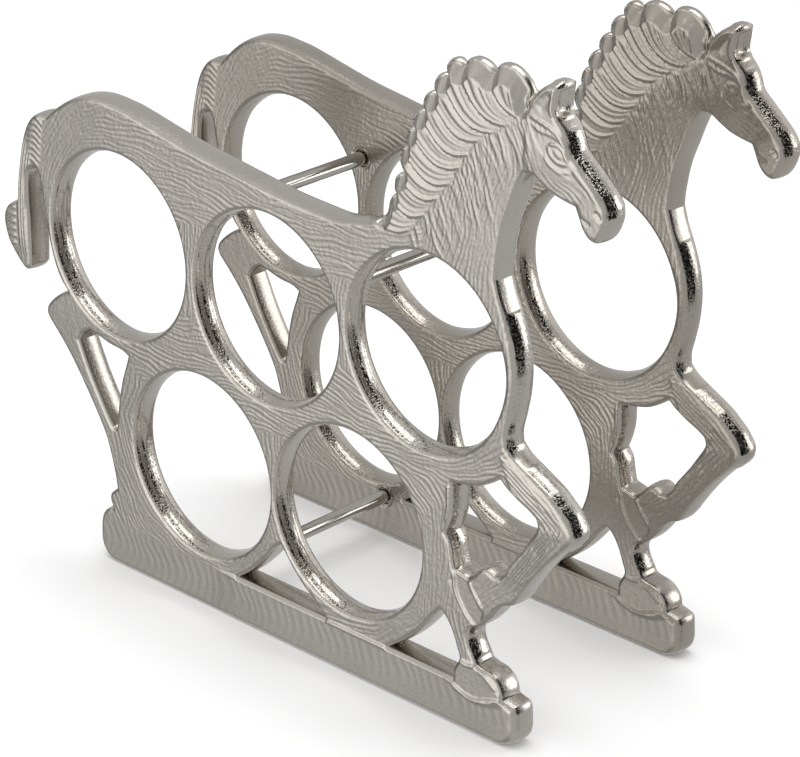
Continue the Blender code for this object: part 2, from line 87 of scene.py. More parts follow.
LOCKS = [
    [(60.8, 271.4), (60.2, 275.6), (57.2, 280.6), (52.6, 284.0), (48.0, 284.9), (44.2, 284.2),
     (42.0, 282.0), (41.2, 280.4)],
    [(41.2, 280.4), (37.2, 283.0), (32.2, 283.9), (28.6, 282.8), (26.6, 281.0), (26.0, 279.4)],
    [(26.0, 279.4), (22.6, 281.2), (19.2, 280.5), (17.2, 278.2), (16.8, 276.0), (17.0, 273.6)],
    [(17.0, 273.6), (14.4, 273.6), (12.0, 272.0), (10.6, 269.2), (10.5, 266.8), (11.0, 264.8)],
    [(11.0, 264.8), (8.4, 264.8), (6.0, 263.0), (4.8, 260.4), (4.8, 258.4), (5.4, 256.2)],
    [(5.4, 256.2), (3.0, 256.2), (0.8, 254.4), (-0.4, 252.0), (-0.4, 250.0), (0.2, 247.8)],
    [(0.2, 247.8), (-1.8, 247.6), (-3.4, 245.6), (-4.0, 243.4), (-4.0, 241.6), (-3.5, 239.6)],
    [(-3.5, 239.6), (-5.3, 239.0), (-6.8, 236.6), (-7.3, 234.0), (-6.7, 231.4), (-5.0, 228.2)],
    [(-5.0, 228.2), (-7.2, 227.6), (-9.4, 225.6), (-10.2, 222.8), (-10.0, 220.6), (-9.4, 218.4)],
    [(-9.4, 218.4), (-11.3, 217.2), (-12.7, 214.6), (-13.2, 212.0), (-14.2, 209.4), (-16.4, 206.6)],
]
OUTLINE += LOCKS
OUTLINE += [
    [(-16.4, 206.6), (-22.6, 204.2), (-28.7, 202.8), (-38.8, 201.0), (-48.9, 201.2), (-69.1, 202.3),
     (-89.3, 204.7), (-109.5, 207.3), (-129.8, 210.0), (-160.1, 215.8), (-170.2, 217.0),
     (-180.3, 217.4), (-190.4, 215.8), (-200.5, 211.6), (-209.6, 205.4), (-215.0, 200.6)],
    [(-215.0, 200.6), (-219.4, 200.9), (-223.4, 199.4), (-227.2, 195.8), (-230.4, 190.4),
     (-232.8, 184.4), (-234.8, 176.8), (-236.4, 168.6), (-237.4, 161.4), (-238.2, 155.4)],
    [(-238.2, 155.4), (-241.4, 154.2), (-244.6, 151.6), (-246.6, 147.6), (-246.6, 142.6),
     (-244.6, 136.4), (-241.2, 131.4), (-237.6, 127.4), (-234.0, 124.8), (-231.6, 124.8),
     (-229.6, 127.0)],
    [(-229.6, 127.0), (-229.2, 136.0), (-229.6, 150.0), (-230.2, 163.0), (-228.8, 171.2),
     (-225.2, 174.8), (-221.8, 172.6), (-220.6, 166.0)],
    [(-220.6, 166.0), (-219.0, 158.0), (-217.4, 149.0), (-215.4, 139.4), (-212.2, 130.8),
     (-208.8, 125.4), (-205.0, 121.8)],
    [(-205.0, 121.8), (-210.5, 119.0), (-215.2, 115.4), (-218.8, 111.6), (-219.8, 108.4),
     (-218.6, 105.4)],
    [(-218.6, 105.4), (-210.0, 97.0), (-203.6, 89.8), (-197.0, 81.0), (-189.8, 70.6),
     (-183.4, 60.0), (-180.0, 51.0), (-177.4, 41.0), (-176.4, 34.8)],
    [(-176.4, 34.8), (-178.8, 32.8), (-180.9, 30.6), (-181.1, 28.0), (-180.2, 25.6), (-179.3, 23.9)],
    [(-179.3, 23.9), (-182.6, 22.8), (-185.6, 20.2), (-187.3, 16.4), (-187.9, 11.0),
     (-187.7, 5.4), (-185.8, 1.2), (-182.4, -1.6), (-178.0, -2.4)],
]
GAPS = [
    [[(-198.4, 100.6), (-191.8, 87.2), (-184.2, 74.6), (-178.2, 65.6), (-176.0, 64.4)],
     [(-176.0, 64.4), (-175.0, 67.0), (-173.4, 78.0), (-171.0, 89.0), (-168.2, 97.0), (-166.4, 102.2)],
     [(-166.4, 102.2), (-170.6, 103.8), (-178.6, 104.6), (-186.0, 106.4), (-191.2, 107.4)],
     [(-191.2, 107.4), (-195.6, 104.6), (-198.4, 100.6)]],
    [[(-98.6, 18.6), (-45.0, 18.6)],
     [(-45.0, 18.6), (-49.8, 22.8), (-54.4, 26.0), (-59.8, 30.0), (-65.2, 35.4), (-69.4, 40.4),
      (-72.2, 43.8)],
     [(-72.2, 43.8), (-75.6, 41.0), (-80.6, 34.6), (-86.6, 28.2), (-92.6, 22.8), (-98.6, 18.6)]],
    [[(-8.8, 18.6), (28.4, 18.6)],
     [(28.4, 18.6), (28.4, 22.8), (31.2, 28.6), (29.8, 33.2), (27.4, 39.0), (24.4, 43.8), (20.9, 47.2)],
     [(20.9, 47.2), (16.8, 43.0), (12.0, 36.8), (6.4, 30.6), (0.2, 25.0), (-8.8, 18.6)]],
    [[(26.2, 106.2), (26.4, 100.2), (26.2, 94.0), (24.8, 87.8), (22.8, 82.8)],
     [(22.8, 82.8), (25.6, 78.6), (26.9, 72.4), (28.0, 68.2)],
     [(28.0, 68.2), (32.4, 67.2), (35.8, 66.6), (38.8, 69.6), (42.0, 73.0), (45.5, 74.2),
      (49.2, 72.8), (52.4, 73.2)],
     [(52.4, 73.2), (55.2, 76.6), (56.8, 80.0), (60.0, 84.4), (63.4, 89.0), (67.0, 94.6),
      (70.2, 99.8), (71.2, 102.6), (70.2, 105.4)],
     [(70.2, 105.4), (66.0, 107.6), (60.4, 110.0), (54.8, 113.2), (51.0, 116.4)],
     [(51.0, 116.4), (47.2, 113.6), (41.6, 110.0), (35.2, 108.0), (26.2, 106.2)]],
]
# Where the locks of the mane end along the crest, from the poll down to the withers.
CREST = [(60.4, 270.6), (57.6, 267.8), (50.4, 262.8), (43.4, 258.4), (36.4, 253.2), (31.0, 246.2),
         (27.2, 240.0), (22.0, 232.2), (15.6, 224.2), (8.4, 215.4), (1.0, 207.4)]


def smooth_curve(points, step):
    """Evenly fine points along a Catmull-Rom curve through the given points, without the last."""
    pts = np.array(points, float)
    if len(pts) == 2:
        count = max(1, math.ceil(np.linalg.norm(pts[1] - pts[0]) / step))
        t = np.arange(count)[:, None] / count
        return pts[0] + (pts[1] - pts[0]) * t
    padded = np.vstack([2 * pts[0] - pts[1], pts, 2 * pts[-1] - pts[-2]])
    out = []
    for i in range(1, len(padded) - 2):
        p0, p1, p2, p3 = padded[i - 1:i + 3]
        count = max(1, math.ceil(np.linalg.norm(p2 - p1) / step))
        t = np.arange(count)[:, None] / count
        out.append(0.5 * (2 * p1 + (p2 - p0) * t + (2 * p0 - 5 * p1 + 4 * p2 - p3) * t ** 2
                          + (3 * p1 - p0 - 3 * p2 + p3) * t ** 3))
    return np.vstack(out)


def closed_loop(stretches, step=0.3):
    """All stretches of a loop joined end to end."""
    return np.vstack([smooth_curve(s, step) for s in stretches])


def circle_loop(centre, radius, step=0.3):
    count = math.ceil(2 * math.pi * radius / step)
    a = np.arange(count) * 2 * math.pi / count
    return np.stack([centre[0] + radius * np.cos(a), centre[1] + radius * np.sin(a)], 1)


LOOPS = [closed_loop(OUTLINE)] + [closed_loop(g) for g in GAPS]
LOOPS += [circle_loop(c, BOTTLE_R) for c in BOTTLE_HOLES]
DRAW_LOW_X = LOOPS[0][:, 0].min()
DRAW_LOW_Z = LOOPS[0][:, 1].min()
OFF_X = near_low[0] / MM - DRAW_LOW_X
OFF_Z = near_low[2] / MM - DRAW_LOW_Z

# ---- distance field on a grid --------------------------
H = 0.52
GX = np.arange(-249.0, 104.0, H)
GZ = np.arange(-5.0, 288.0, H)
X, Z = np.meshgrid(GX, GZ, indexing="ij")
SHAPE = X.shape


class Loops:
    """Signed distance to a set of closed loops: positive inside the material."""

    def __init__(self, loops):
        self.a = np.vstack(loops)
        self.b = np.vstack([np.roll(l, -1, axis=0) for l in loops])
        self.prev = np.concatenate([np.roll(np.arange(len(l)), 1) + s for l, s in
                                    zip(loops, np.cumsum([0] + [len(l) for l in loops[:-1]]))])
        self.tree = KDTree(len(self.a))
        for i, p in enumerate(self.a):
            self.tree.insert((p[0], p[1], 0.0), i)
        self.tree.balance()

    def nearest(self, pts):
        """Exact nearest points on the loops."""
        find = self.tree.find
        idx = np.array([find((x, z, 0.0))[1] for x, z in pts])
        best = None
        for seg in (idx, self.prev[idx]):
            a, b = self.a[seg], self.b[seg]
            ab = b - a
            t = np.clip(((pts - a) * ab).sum(1) / (ab * ab).sum(1), 0, 1)
            q = a + ab * t[:, None]
            d = np.linalg.norm(pts - q, axis=1)
            if best is None:
                best, dist = q, d
            else:
                closer = d < dist
                best = np.where(closer[:, None], q, best)
                dist = np.where(closer, d, dist)
        return best, dist

    def inside_grid(self):
        """Even-odd inside mask on the grid, row by row."""
        mask = np.zeros(SHAPE, bool)
        a, b = self.a, self.b
        for j, z in enumerate(GZ):
            hit = (a[:, 1] > z) != (b[:, 1] > z)
            if not hit.any():
                continue
            ah, bh = a[hit], b[hit]
            xs = np.sort(ah[:, 0] + (z - ah[:, 1]) * (bh[:, 0] - ah[:, 0]) / (bh[:, 1] - ah[:, 1]))
            mask[:, j] = np.searchsorted(xs, GX) % 2 == 1
        return mask


def field(loops):
    """The loops, the signed distance on the grid and the nearest edge point of every grid point."""
    grid = np.stack([X.ravel(), Z.ravel()], 1)
    shape = Loops(loops)
    inside = shape.inside_grid().ravel()
    near, dist = shape.nearest(grid)
    signed = np.where(inside, dist, -dist)
    return shape, signed.reshape(SHAPE), near.reshape(SHAPE + (2,))


def blur(a, sigma_mm):
    """Gaussian blur of a grid by its radius in millimetres."""
    fx = np.fft.fftfreq(SHAPE[0], H)[:, None]
    fz = np.fft.rfftfreq(SHAPE[1], H)[None, :]
    gain = np.exp(-2 * (math.pi * sigma_mm) ** 2 * (fx * fx + fz * fz))
    return np.fft.irfft2(np.fft.rfft2(a) * gain, s=SHAPE)


def step01(v):
    """Smooth step from 0 to 1."""
    v = np.clip(v, 0, 1)
    return v * v * (3 - 2 * v)


def sample(grid, px, pz):
    """Bilinear reading of a grid at points in millimetres."""
    u = np.clip((px - GX[0]) / H, 0, SHAPE[0] - 1.001)
    v = np.clip((pz - GZ[0]) / H, 0, SHAPE[1] - 1.001)
    i = u.astype(int)
    j = v.astype(int)
    u = u - i
    v = v - j
    return ((grid[i, j] * (1 - u) + grid[i + 1, j] * u) * (1 - v)
            + (grid[i, j + 1] * (1 - u) + grid[i + 1, j + 1] * u) * v)


PANEL, DIST, NEAREST = field(LOOPS)

# ---- relief --------------------------------------------
RNG = np.random.default_rng(7)
relief = np.zeros(SHAPE)


def region(px, pz, rx, rz, soft=0.35):
    """Soft oval mask."""
    r = np.hypot((X - px) / rx, (Z - pz) / rz)
    return step01((1 + soft - r) / (2 * soft))


def polygon_mask(points, soft):
    """Soft mask of a closed smooth shape."""
    loop = closed_loop([points + [points[0]]], 0.5)
    lo, hi = loop.min(0) - 3 * soft, loop.max(0) + 3 * soft
    i0, i1 = np.searchsorted(GX, (lo[0], hi[0]))
    j0, j1 = np.searchsorted(GZ, (lo[1], hi[1]))
    sub = np.zeros(SHAPE)
    a, b = loop, np.roll(loop, -1, axis=0)
    for j in range(j0, j1):
        z = GZ[j]
        hit = (a[:, 1] > z) != (b[:, 1] > z)
        if hit.any():
            xs = np.sort(a[hit, 0] + (z - a[hit, 1]) * (b[hit, 0] - a[hit, 0]) / (b[hit, 1] - a[hit, 1]))
            sub[i0:i1, j] = np.searchsorted(xs, GX[i0:i1]) % 2
    return blur(sub, soft)


def carve(target, points, width, height, fade=(0.15, 0.3), mode="add"):
    """A ridge, or a groove when height is negative, along a smooth curve."""
    line = np.vstack([smooth_curve(points, 0.6), points[-1]])
    lo, hi = line.min(0) - 2.5 * width, line.max(0) + 2.5 * width
    i0, i1 = np.searchsorted(GX, (lo[0], hi[0]))
    j0, j1 = np.searchsorted(GZ, (lo[1], hi[1]))
    if i1 <= i0 or j1 <= j0:
        return
    sx, sz = X[i0:i1, j0:j1], Z[i0:i1, j0:j1]
    seg = np.linalg.norm(np.diff(line, axis=0), axis=1)
    run = np.concatenate([[0], np.cumsum(seg)]) / max(1e-6, seg.sum())
    dist = np.full(sx.shape, 1e9)
    along = np.zeros(sx.shape)
    for k in range(len(line) - 1):
        a, ab = line[k], line[k + 1] - line[k]
        t = np.clip(((sx - a[0]) * ab[0] + (sz - a[1]) * ab[1]) / (ab @ ab), 0, 1)
        d = np.hypot(sx - a[0] - ab[0] * t, sz - a[1] - ab[1] * t)
        near = d < dist
        dist[near] = d[near]
        along[near] = (run[k] + (run[k + 1] - run[k]) * t)[near]
    taper = step01(along / max(fade[0], 1e-3)) * step01((1 - along) / max(fade[1], 1e-3))
    shape = height * taper * np.exp(-(dist / width) ** 2)
    part = target[i0:i1, j0:j1]
    if mode == "add":
        part += shape
    else:
        np.maximum(part, shape, out=part)


# Direction of the hair at chosen places: (x, z, degrees from +x).
FLOW = [
    (-190, 207, 25), (-170, 208, 2), (-145, 206, -8), (-110, 200, -6), (-75, 197, -4), (-40, 196, 0),
    (-10, 200, 14), (-205, 192, 55), (-216, 165, 82), (-215, 140, 100), (-203, 124, -50),
    (-128, 186, -4), (-125, 165, 88), (-125, 145, 90), (-124, 122, 3), (-148, 113, -8),
    (-172, 112, -14), (-100, 112, 6), (-78, 103, 2), (-36, 186, 4), (-35, 168, 86), (-35, 150, 92),
    (-38, 125, -6), (-58, 112, 4), (-15, 117, -6), (8, 110, 6), (-77, 85, 88), (-77, 62, 90),
    (-172, 85, 68), (-180, 70, -58), (-170, 55, -72), (-168, 38, -60), (-150, 25, -24),
    (-120, 14, -8), (-210, 110, 45), (-195, 92, -50), (-90, 35, 48), (-62, 36, -46), (-34, 20, 0),
    (0, 33, 42), (14, 60, 92), (17, 80, 100), (14, 97, -30), (22, 90, 95), (30, 38, -62),
    (24, 60, 86), (56, 165, 92), (54, 145, 85), (44, 122, 36), (28, 112, 16), (62, 118, -32),
    (76, 110, -38), (72, 92, 58), (62, 76, 54), (50, 66, 48), (40, 57, 55), (-233, 165, 80),
    (-235, 138, 92), (-242, 143, 35), (-226, 188, 20), (-219, 196, 60), (45, 215, 86),
    (50, 235, 70), (40, 205, 84), (20, 205, 80), (0, 203, 12), (95, 236, 88), (72, 246, -22),
    (84, 246, -24), (63, 255, -62), (48, 195, 88), (50, 180, 92),
]
# Waver and drift of the hair in radians, then its smear length and band of widths in millimetres.
HAIR_WAVER = 0.12
HAIR_DRIFT = 0.09
HAIR_REACH = 9.0
HAIR_COARSE = 0.52
HAIR_FINE = 0.27


def flow_angle():
    """Smooth line field through the chosen directions, with a gentle waver."""
    c = np.zeros(SHAPE)
    s = np.zeros(SHAPE)
    for x, z, deg in FLOW:
        w = 1 / ((X - x) ** 2 + (Z - z) ** 2 + 9.0) ** 2
        c += w * math.cos(math.radians(2 * deg))
        s += w * math.sin(math.radians(2 * deg))
    base = 0.5 * np.arctan2(s, c)
    waver = blur(RNG.standard_normal(SHAPE), 1.7)
    waver /= waver.std()
    drift = blur(RNG.standard_normal(SHAPE), 5.0)
    drift /= drift.std()
    return base + HAIR_WAVER * waver + HAIR_DRIFT * drift


def smear(grid, dx, dz, reach):
    """Average of a grid along the flow, both ways from every point."""
    total = grid.copy()
    for sign in (-1, 1):
        px, pz = X.copy(), Z.copy()
        for _ in range(int(reach / H)):
            a = sample(dx, px, pz) * sign
            b = sample(dz, px, pz) * sign
            px = px + a * H
            pz = pz + b * H
            total += sample(grid, px, pz)
    return total


def hair_field(angle, reach, coarse, fine):
    """Noise smeared along the flow, then kept to one band of widths: wavy combed ridges."""
    dx, dz = np.cos(angle), np.sin(angle)
    grid = RNG.standard_normal(SHAPE)
    for _ in range(2):
        grid = smear(grid, dx, dz, reach)
        grid = blur(grid, fine) - blur(grid, coarse)
        grid = np.tanh(1.2 * grid / grid.std())
    return grid


angle = flow_angle()
hair = hair_field(angle, HAIR_REACH, HAIR_COARSE, HAIR_FINE)
hair /= hair.std()

# Where the hair is deep, shallow or absent.
hair_depth = np.full(SHAPE, 0.046)
hair_depth += 0.03 * region(65, 115, 22, 16) + 0.012 * region(-70, 120, 60, 30)
hair_depth *= 1 - 0.45 * region(-205, 165, 16, 60)
hair_depth *= 1 - 0.55 * region(-195, 95, 28, 40)
hair_depth *= 1 - 0.35 * region(48, 215, 14, 30)

RAIL_TOP = 18.4 - 4.4 * np.exp(-((X - 39.0) / 9.5) ** 2) * (X > 24)
rail_mask = step01((RAIL_TOP - Z) / 0.8 + 0.5) * step01((X + 118) / 22)
rail_all = step01((18.4 - Z) / 5.0 + 0.5)
hair_depth *= 1 - np.maximum(rail_mask, rail_all)

hoof = polygon_mask([(28.6, 17.5), (31.2, 27.6), (40.6, 28.6), (52.6, 21.4), (55.0, 16.0),
                     (40.0, 12.5)], 0.5)
fetlock = polygon_mask([(27.6, 68.0), (26.6, 62.5), (29.4, 56.0), (33.2, 50.4), (38.6, 47.0),
                        (43.0, 50.2), (43.6, 55.2), (39.4, 60.8), (36.8, 65.4), (33.0, 68.6)], 0.5)
knee = region(87.5, 104.5, 5.5, 6.5)
hock = region(-212, 110, 9, 10)
brow = polygon_mask([(60.5, 271.0), (68.0, 269.2), (75.0, 267.0), (80.4, 263.0), (83.0, 259.6),
                     (90.0, 251.8), (98.0, 245.4), (101.0, 240.0), (104.0, 246.0), (90.0, 266.0),
                     (78.0, 290.0), (60.0, 285.0)], 0.5)
for mask in (hoof, fetlock, knee, 0.8 * hock, brow):
    hair_depth *= 1 - mask
muzzle = region(95, 237, 7.5, 9)
hair_depth *= 1 - 0.75 * muzzle

# Mane: strands of every lock run from its rounded tip to the crest, steep first, then level.
LOCK_STRANDS = (6, 5, 5, 4, 4, 4, 4, 4, 4, 4)
LOCK_RISE = (-6, 4, 12, 18, 22, 25, 27, 28, 30, 30)
LOCK_FALL = (-52, -44, -28, -14, -8, -6, -6, -6, -6, -6)
mane = np.full(SHAPE, -1.0)
for i, lock in enumerate(LOCKS):
    rim = np.vstack([smooth_curve(lock, 0.4), lock[-1]])
    run = np.concatenate([[0], np.cumsum(np.linalg.norm(np.diff(rim, axis=0), axis=1))])
    run /= run[-1]
    strands = LOCK_STRANDS[i]
    total = np.zeros(SHAPE)
    count = np.zeros(SHAPE)
    rise = math.radians(LOCK_RISE[i])
    for u in np.linspace(0, 1, 130):
        tip = np.array([np.interp(u, run, rim[:, 0]), np.interp(u, run, rim[:, 1])])
        root = (1 - u) * np.array(CREST[i]) + u * np.array(CREST[i + 1])
        span = np.linalg.norm(root - tip)
        fall = math.radians(LOCK_FALL[i] - 10 * (1 - u))
        p1 = tip + span * 0.26 * np.array([math.cos(fall), math.sin(fall)])
        p2 = root - span * 0.57 * np.array([math.cos(rise), math.sin(rise)])
        t = np.linspace(0, 1, 190)[:, None]
        path = (1 - t) ** 3 * tip + 3 * (1 - t) ** 2 * t * p1 + 3 * (1 - t) * t * t * p2 + t ** 3 * root
        t = t[:, 0]
        wander = 0.22 * np.sin(2.6 * t + 1.9 * i) + 0.16 * math.sin(11 * u + 2 * i)
        free = math.sin(math.pi * u) ** 0.5
        phase = strands * u * 0.96 + 0.12 + wander * free + 0.6 * u * (1 - u) * t
        tall = 0.75 + 0.35 * np.sin(2.4 * np.floor(phase) + 1.7 * i)
        ridge = tall * np.sin(math.pi * (phase % 1.0) ** 0.78) ** 1.6
        start = 0.10 + 0.30 * (1 - u)
        grown = step01((t - start) / 0.07) * step01((sample(DIST, path[:, 0], path[:, 1]) - 1.8) / 1.6)
        height = 0.30 + 0.35 * u + grown * (0.38 * ridge - 0.08) * (1 - 0.4 * t ** 3)
        height = height - 0.6 * t ** 4 - 0.9 * (1 - step01(u / 0.13)) + 0.25 * step01((u - 0.84) / 0.1)
        ii = np.rint((path[:, 0] - GX[0]) / H).astype(int)
        jj = np.rint((path[:, 1] - GZ[0]) / H).astype(int)
        ok = (ii > 0) & (ii < SHAPE[0] - 1) & (jj > 0) & (jj < SHAPE[1] - 1)
        np.add.at(total, (ii[ok], jj[ok]), height[ok])
        np.add.at(count, (ii[ok], jj[ok]), 1)
    mane = np.maximum(mane, np.where(count > 0, total / np.maximum(count, 1), -1.0))
mane_mask = (mane > -0.5).astype(float)
filled = np.where(mane > -0.5, mane, 0.0)
mane_soft = blur(mane_mask, 0.45)
mane_height = blur(filled, 0.22) / np.maximum(blur(mane_mask, 0.22), 0.05)
mane_soft = step01((mane_soft - 0.25) / 0.5)
relief += mane_soft * mane_height
hair_depth *= 1 - mane_soft

# Long strands combed down the neck from under the mane.
neck = np.zeros(SHAPE)
crest_line = np.vstack([smooth_curve(CREST, 0.5), CREST[-1]])
for k, s in enumerate(np.linspace(0.03, 0.97, 46)):
    s = min(0.99, max(0.01, s + RNG.uniform(-0.012, 0.012)))
    below = 0.6 + RNG.uniform(0, 4) * (k % 3 == 0)
    start = crest_line[int(s * (len(crest_line) - 1))] + np.array([0.4, -below])
    lean = math.radians(-58 - 14 * s + RNG.uniform(-9, 9))
    down = math.radians(-80 + 12 * math.sin(k * 1.7) + RNG.uniform(-6, 6))
    length = (14 + 13 * math.sin(math.pi * min(1, s * 1.25)) + RNG.uniform(-6, 5)) * (1 - 0.35 * s)
    mid = start + 0.5 * length * np.array([math.cos(lean), math.sin(lean)])
    end = mid + 0.5 * length * np.array([math.cos(down), math.sin(down)])
    carve(neck, [tuple(start), tuple(mid), tuple(end)], RNG.uniform(0.5, 0.75), RNG.uniform(0.06, 0.28),
          (0.1, 0.6), "max")
for k in range(15):
    s = k / 14
    start = np.array([12 + 30 * s + RNG.uniform(-1, 1), 216 + 28 * s + RNG.uniform(-4, 3)])
    lean = math.radians(-72 + RNG.uniform(-8, 8))
    down = math.radians(-54 - 20 * s + RNG.uniform(-8, 8))
    length = 12 + RNG.uniform(0, 9)
    mid = start + 0.5 * length * np.array([math.cos(lean), math.sin(lean)])
    end = mid + 0.5 * length * np.array([math.cos(down), math.sin(down)])
    carve(neck, [tuple(start), tuple(mid), tuple(end)], 0.6, RNG.uniform(0.12, 0.3), (0.3, 0.5), "max")
relief += neck * (1 - mane_soft)

# Face: cheek lines, brow, eye, nostril and mouth.
face = np.zeros(SHAPE)
upper = [(60.6, 269.6), (66.4, 259.6), (76.0, 252.0), (88.6, 248.6)]
lower = [(60.4, 254.0), (62.6, 249.6), (68.8, 245.6), (80.0, 242.4)]
for k in range(9):
    w = k / 8
    line = [tuple((1 - w) * np.array(a) + w * np.array(b)) for a, b in zip(upper, lower)]
    carve(face, line, 0.55, 0.30, (0.1, 0.35), "max")
for pts, width, height in (
    ([(61.0, 270.4), (68.0, 268.8), (75.0, 266.4), (80.0, 262.6), (83.2, 258.6), (90.0, 251.4),
      (97.6, 245.2), (100.2, 240.6)], 0.7, 0.5),
    ([(62.4, 267.8), (68.0, 265.4), (74.0, 264.9), (79.6, 262.0), (84.0, 257.4)], 0.75, 0.32),
    ([(72.4, 261.0), (76.2, 261.8), (79.8, 259.8), (82.4, 255.2)], 0.6, 0.5),
    ([(72.4, 261.0), (73.6, 257.6), (77.4, 255.2), (82.4, 255.2)], 0.6, 0.42),
    ([(70.6, 258.0), (73.2, 253.8), (78.4, 251.8), (84.0, 252.6)], 0.8, 0.26),
    ([(84.0, 254.6), (89.0, 250.6), (94.4, 246.2), (98.4, 242.6)], 0.8, 0.4),
    ([(87.6, 237.4), (90.6, 235.4), (94.0, 234.8)], 0.55, -0.55),
    ([(95.4, 240.2), (97.4, 239.4), (98.4, 237.0)], 0.7, -0.6),
):
    carve(face, pts, width, height, (0.12, 0.2))
eye_long = ((X - 77.4) * 0.84 - (Z - 258.3) * 0.54) / 3.2
eye_wide = ((X - 77.4) * 0.54 + (Z - 258.3) * 0.84) / 1.7
face += 0.45 * np.exp(-(eye_long ** 2 + eye_wide ** 2))
face += 0.5 * region(70, 254, 9, 8, 0.8) + 0.35 * muzzle
relief += face
hair_depth *= 1 - 0.8 * region(75, 256, 11, 9)

# Ear: a cupped leaf with a raised front rim.
carve(relief, [(62.4, 272.4), (66.0, 278.0), (71.0, 282.2), (75.2, 283.6)], 1.0, 0.35, (0.2, 0.1))
carve(relief, [(74.0, 271.6), (73.0, 275.2), (73.6, 279.6), (75.2, 283.6)], 0.8, 0.4, (0.1, 0.1))
carve(relief, [(67.0, 272.6), (69.6, 276.2), (72.6, 280.4)], 1.8, -0.3, (0.2, 0.2))

# Tail: long grooves down the outer sweep, cross ridges near its root, curls in the lobe.
tail = np.zeros(SHAPE)
for k in range(4):
    o = 1.7 * k
    carve(tail, [(-229.6 + o * 0.9, 190.0 - o), (-232.0 + o, 180.0), (-234.6 + o, 166.0),
                 (-235.6 + o, 152.0), (-235.4 + o, 138.0), (-234.2 + o * 0.8, 129.0)],
          0.6, 0.5, (0.2, 0.2), "max")
for k in range(8):
    z = 198.5 - 2.9 * k
    x = -217.6 - 0.5 * k
    carve(tail, [(x + 1.0, z - 2.6), (x - 4.4, z + 0.6), (x - 8.4 - 0.25 * k, z - 1.0)],
          0.75, 0.24, (0.2, 0.25), "max")
for k in range(6):
    z = 152.4 - 3.4 * k
    carve(tail, [(-237.6, z + 0.8), (-241.2, z - 0.2), (-245.6 + 0.6 * abs(k - 1.5), z - 3.4)],
          0.7, 0.4, (0.2, 0.15), "max")
relief += tail
hair_depth *= 1 - 0.6 * polygon_mask([(-218, 200), (-228, 196), (-236, 176), (-247, 150), (-246, 136),
                                      (-234, 124), (-229, 130), (-229, 165), (-222, 180)], 1.0)

# Raised foreleg: long grooves along thigh and shin.
leg = np.zeros(SHAPE)
for k in range(6):
    o = 2.25 * k
    carve(leg, [(50.5 + 0.5 * o, 126.8 - o), (60.0 + 0.2 * o, 121.6 - o), (70.0, 116.0 - 0.85 * o),
                (80.0 - 0.4 * o, 109.6 - 0.5 * o)], 0.62, 0.42, (0.1, 0.2), "max")
for k in range(4):
    o = 2.4 * k
    carve(leg, [(84.0 - o * 0.9, 106.6 - 0.2 * o), (82.4 - o, 100.6 + 0.1 * o),
                (72.0 - o * 0.8, 87.0 + 0.6 * o), (62.6 - o * 0.8, 73.6 + 0.6 * o),
                (54.8 - o * 0.7, 66.2 + 0.4 * o)],
          0.62, 0.34, (0.1, 0.25), "max")
relief += leg

# Hooves, knee and the lip where the front hoof stands in the rail.
relief += 0.35 * hoof - 0.55 * fetlock
for pts, width, height in (
    ([(27.6, 68.6), (28.2, 61.0), (30.8, 55.2), (34.8, 50.0), (39.0, 46.6)], 0.7, 0.8),
    ([(35.6, 66.8), (38.0, 62.6), (41.4, 58.4), (43.8, 54.6)], 0.75, 0.8),
    ([(31.2, 28.4), (36.0, 27.6), (40.4, 28.6)], 0.6, 0.6),
    ([(40.6, 28.8), (46.0, 26.0), (52.6, 21.4)], 0.6, 0.45),
    ([(26.6, 17.4), (31.0, 14.8), (38.0, 13.4), (46.0, 14.0), (52.6, 16.6)], 0.75, 0.6),
    ([(54.4, 18.2), (58.0, 16.4)], 0.5, -0.6),
    ([(24.0, 106.0), (24.4, 96.0), (23.0, 87.0)], 0.7, 0.35),
):
    carve(relief, pts, width, height, (0.15, 0.15))

# Rail: stands slightly proud with a bright lip on top and faint upright waves.
relief += 0.42 * rail_mask
relief += 0.35 * np.exp(-((Z - RAIL_TOP + 0.7) / 0.55) ** 2) * step01((X + 112) / 14) * (X < 56)
rail_noise = blur(RNG.standard_normal(SHAPE), 5.0)
rail_noise /= rail_noise.std()
wave_phase = X / 5.0 - 0.35 * np.cos(Z * 0.30 - 2.2) + 0.25 * rail_noise
rail_wave = 0.055 * np.abs(np.sin(wave_phase * math.pi)) ** 3
relief += rail_wave * rail_all

relief += hair_depth * hair
fine_grain = blur(RNG.standard_normal(SHAPE), 0.45)
fine_grain /= fine_grain.std()
relief += 0.014 * fine_grain * (1 - 0.8 * rail_all)

# ---- rounded edges -------------------------------------
edge_radius = np.full(SHAPE, 1.8)
edge_radius += 1.6 * region(98, 246, 12, 16) + 1.2 * region(84, 262, 10, 12)
edge_radius += 1.8 * region(58, 170, 6, 40) + 1.4 * region(80, 116, 22, 9) + 1.0 * region(88, 103, 8, 9)
edge_radius += 0.6 * region(-120, 214, 110, 10)
edge_radius += 2.0 * region(61, 6, 5, 12) + 1.0 * region(-236, 165, 6, 40)
edge_radius = np.minimum(blur(edge_radius, 1.5), 3.8)
bevel_zone = blur(mane_soft * (1 - region(63, 274, 3.5, 5.0)), 0.8)
BACK_RADIUS = 2.2
BEVEL_WIDE = 6.2
BEVEL_DEEP = 5.5
ISO = 0.35
EDGE_LEVELS = (0.12, 0.0)
# Swelling of a wall: (share of the way through the panel, millimetres outwards).
WALL_BELLY = ((0.13, 0.46), (0.26, 0.90), (0.37, 1.14), (0.52, 1.22), (0.80, 1.10))
EAR_HOLLOW = 1.3


def rounding(radius, depth):
    """Drop of a quarter-round edge at a distance in from the edge."""
    inner = 0.95 * np.clip(radius - depth, 0, radius)
    return radius - np.sqrt(np.maximum(radius ** 2 - inner ** 2, 0))


